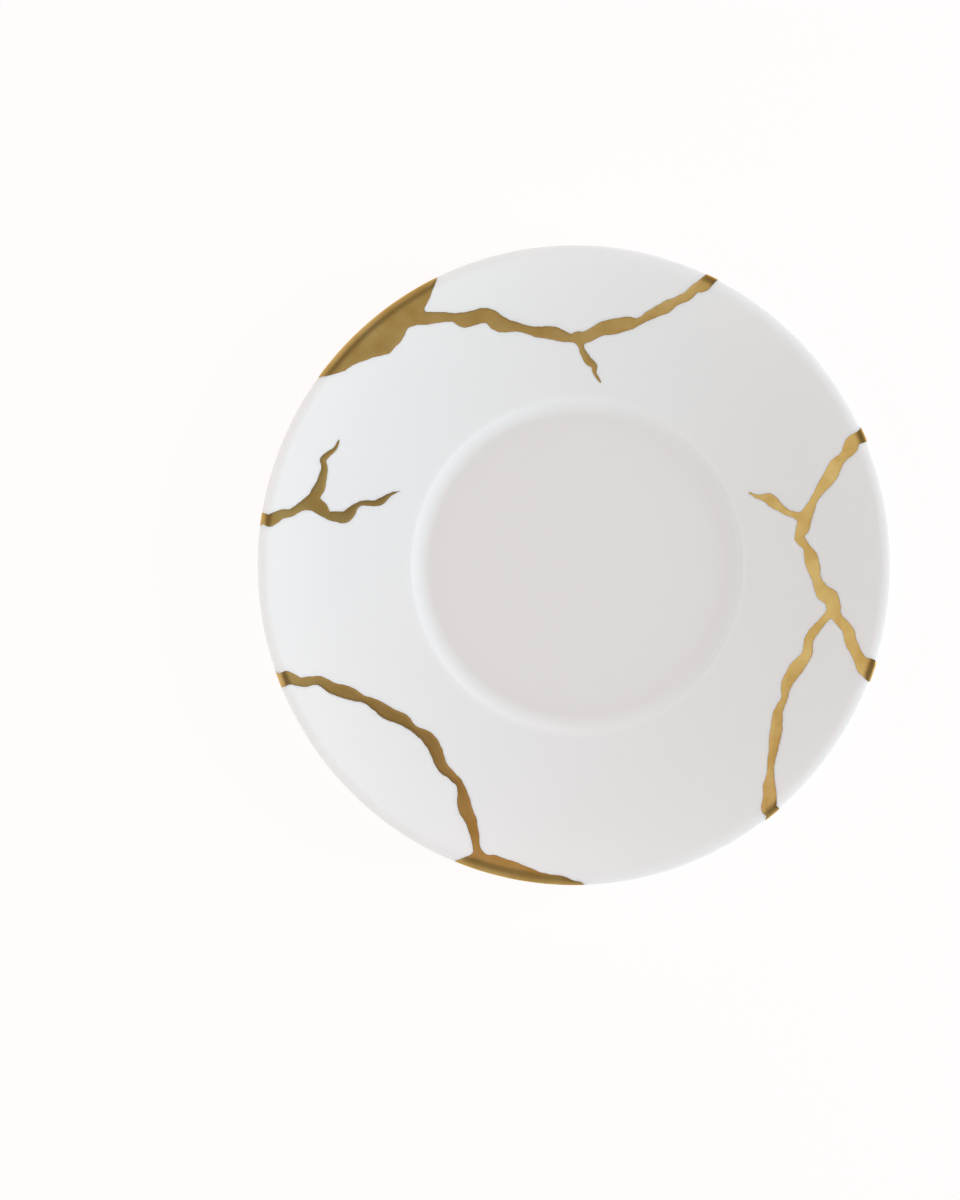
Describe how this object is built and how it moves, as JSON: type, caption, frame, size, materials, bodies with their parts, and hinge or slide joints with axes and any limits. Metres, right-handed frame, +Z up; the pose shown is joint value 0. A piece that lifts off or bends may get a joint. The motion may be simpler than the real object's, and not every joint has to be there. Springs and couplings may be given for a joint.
{
  "type": "tea saucer",
  "caption": "Round white glazed porcelain tea saucer with a flat cup well, a wide upcurved wing, a foot ring, and gold-mended seams and rim chips.",
  "frame": {"origin": "on the table, under the centre of the foot ring", "axes": "+Z up, along the axis that the saucer is turned about; X and Y are any two directions across it"},
  "size_m": [0.16, 0.16, 0.0172],
  "materials": {
    "white_glaze": "gloss",
    "gold": "satin"
  },
  "bodies": {
    "root": {"saucer": "white_glaze"}
  },
  "joints": []
}
